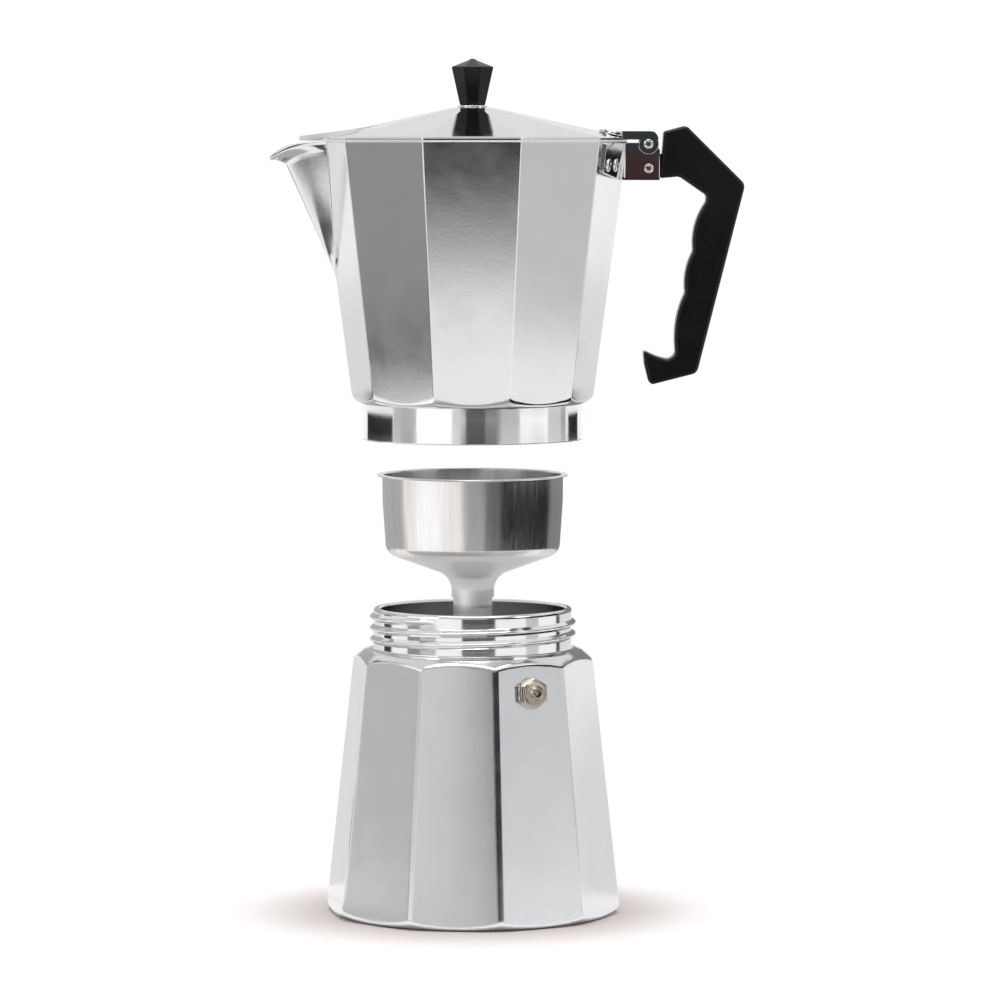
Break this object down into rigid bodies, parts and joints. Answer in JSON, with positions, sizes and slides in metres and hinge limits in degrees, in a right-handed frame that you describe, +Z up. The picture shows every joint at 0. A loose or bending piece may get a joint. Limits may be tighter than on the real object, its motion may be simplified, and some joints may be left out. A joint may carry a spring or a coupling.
{
  "type": "stovetop moka pot",
  "caption": "Ten-sided stovetop coffee pot drawn lifted apart: threaded boiler with valve, funnel, collector with spout, hinged lid and black handle.",
  "frame": {"origin": "centre of the boiler's foot, on the surface it stands on", "axes": "+Z up the pot's axis, -X towards the spout, +X towards the handle"},
  "size_m": [0.2112, 0.1312, 0.3816],
  "materials": {
    "cast_aluminium": "polished satin casting",
    "drawn_aluminium": "satin drawn sheet",
    "mirror_steel": "bright pressed steel",
    "nickel_brass": "nickel plated, warm",
    "raw_brass": "turned",
    "bright_washer": "turned bright",
    "spring_steel": "drawn wire, zinc plated",
    "white_rubber": "matte",
    "black_bakelite": "moulded, half gloss"
  },
  "bodies": {
    "boiler": {"boiler_shell": "cast_aluminium", "valve_body": "nickel_brass", "valve_washer": "bright_washer", "valve_spring": "spring_steel", "valve_seat_ring": "raw_brass"},
    "plunger": {"valve_plunger": "raw_brass"},
    "funnel": {"funnel_basket": "drawn_aluminium", "funnel_stem": "drawn_aluminium", "funnel_screen": "drawn_aluminium"},
    "seal": {"gasket": "white_rubber"},
    "plate": {"filter_plate": "drawn_aluminium"},
    "collector": {"collector_shell": "cast_aluminium", "handle_bracket": "mirror_steel", "bracket_rivets": "mirror_steel", "handle": "black_bakelite", "handle_rivet": "mirror_steel", "hinge_pin": "mirror_steel"},
    "lid": {"lid_shell": "cast_aluminium", "lid_leaf": "mirror_steel", "leaf_rivets": "mirror_steel", "knob": "black_bakelite", "knob_screw": "spring_steel", "knob_washer": "bright_washer"}
  },
  "joints": [
    {"name": "valve_lift", "type": "slide", "parent": "boiler", "child": "plunger", "axis": [0.4867, -0.8673, 0.1045], "range_m": [0, 0.0012], "stiffness_N_per_m": 600, "springref_m": -0.0015, "deforming": ["valve_spring"]},
    {"name": "funnel_lift", "type": "slide", "parent": "boiler", "child": "funnel", "axis": [0, 0, 1], "range_m": [-0.059, 0]},
    {"name": "seal_lift", "type": "slide", "parent": "funnel", "child": "seal", "axis": [0, 0, 1], "range_m": [-0.0196, 0]},
    {"name": "collector_turn", "type": "hinge", "parent": "seal", "child": "plate", "pos_m": [0, 0, 0.2164], "axis": [0, 0, 1], "range_deg": [-1080, 0]},
    {"name": "thread_rise", "type": "slide", "parent": "plate", "child": "collector", "axis": [0, 0, 1], "range_m": [-0.015, 0]},
    {"name": "lid_hinge", "type": "hinge", "parent": "collector", "child": "lid", "pos_m": [0.07805, 0, 0.3438], "axis": [0, 1, 0], "range_deg": [0, 95]}
  ],
  "couplings": [
    {"joint": "thread_rise", "follows": "collector_turn", "m_per_rad": 0.00079577}
  ]
}
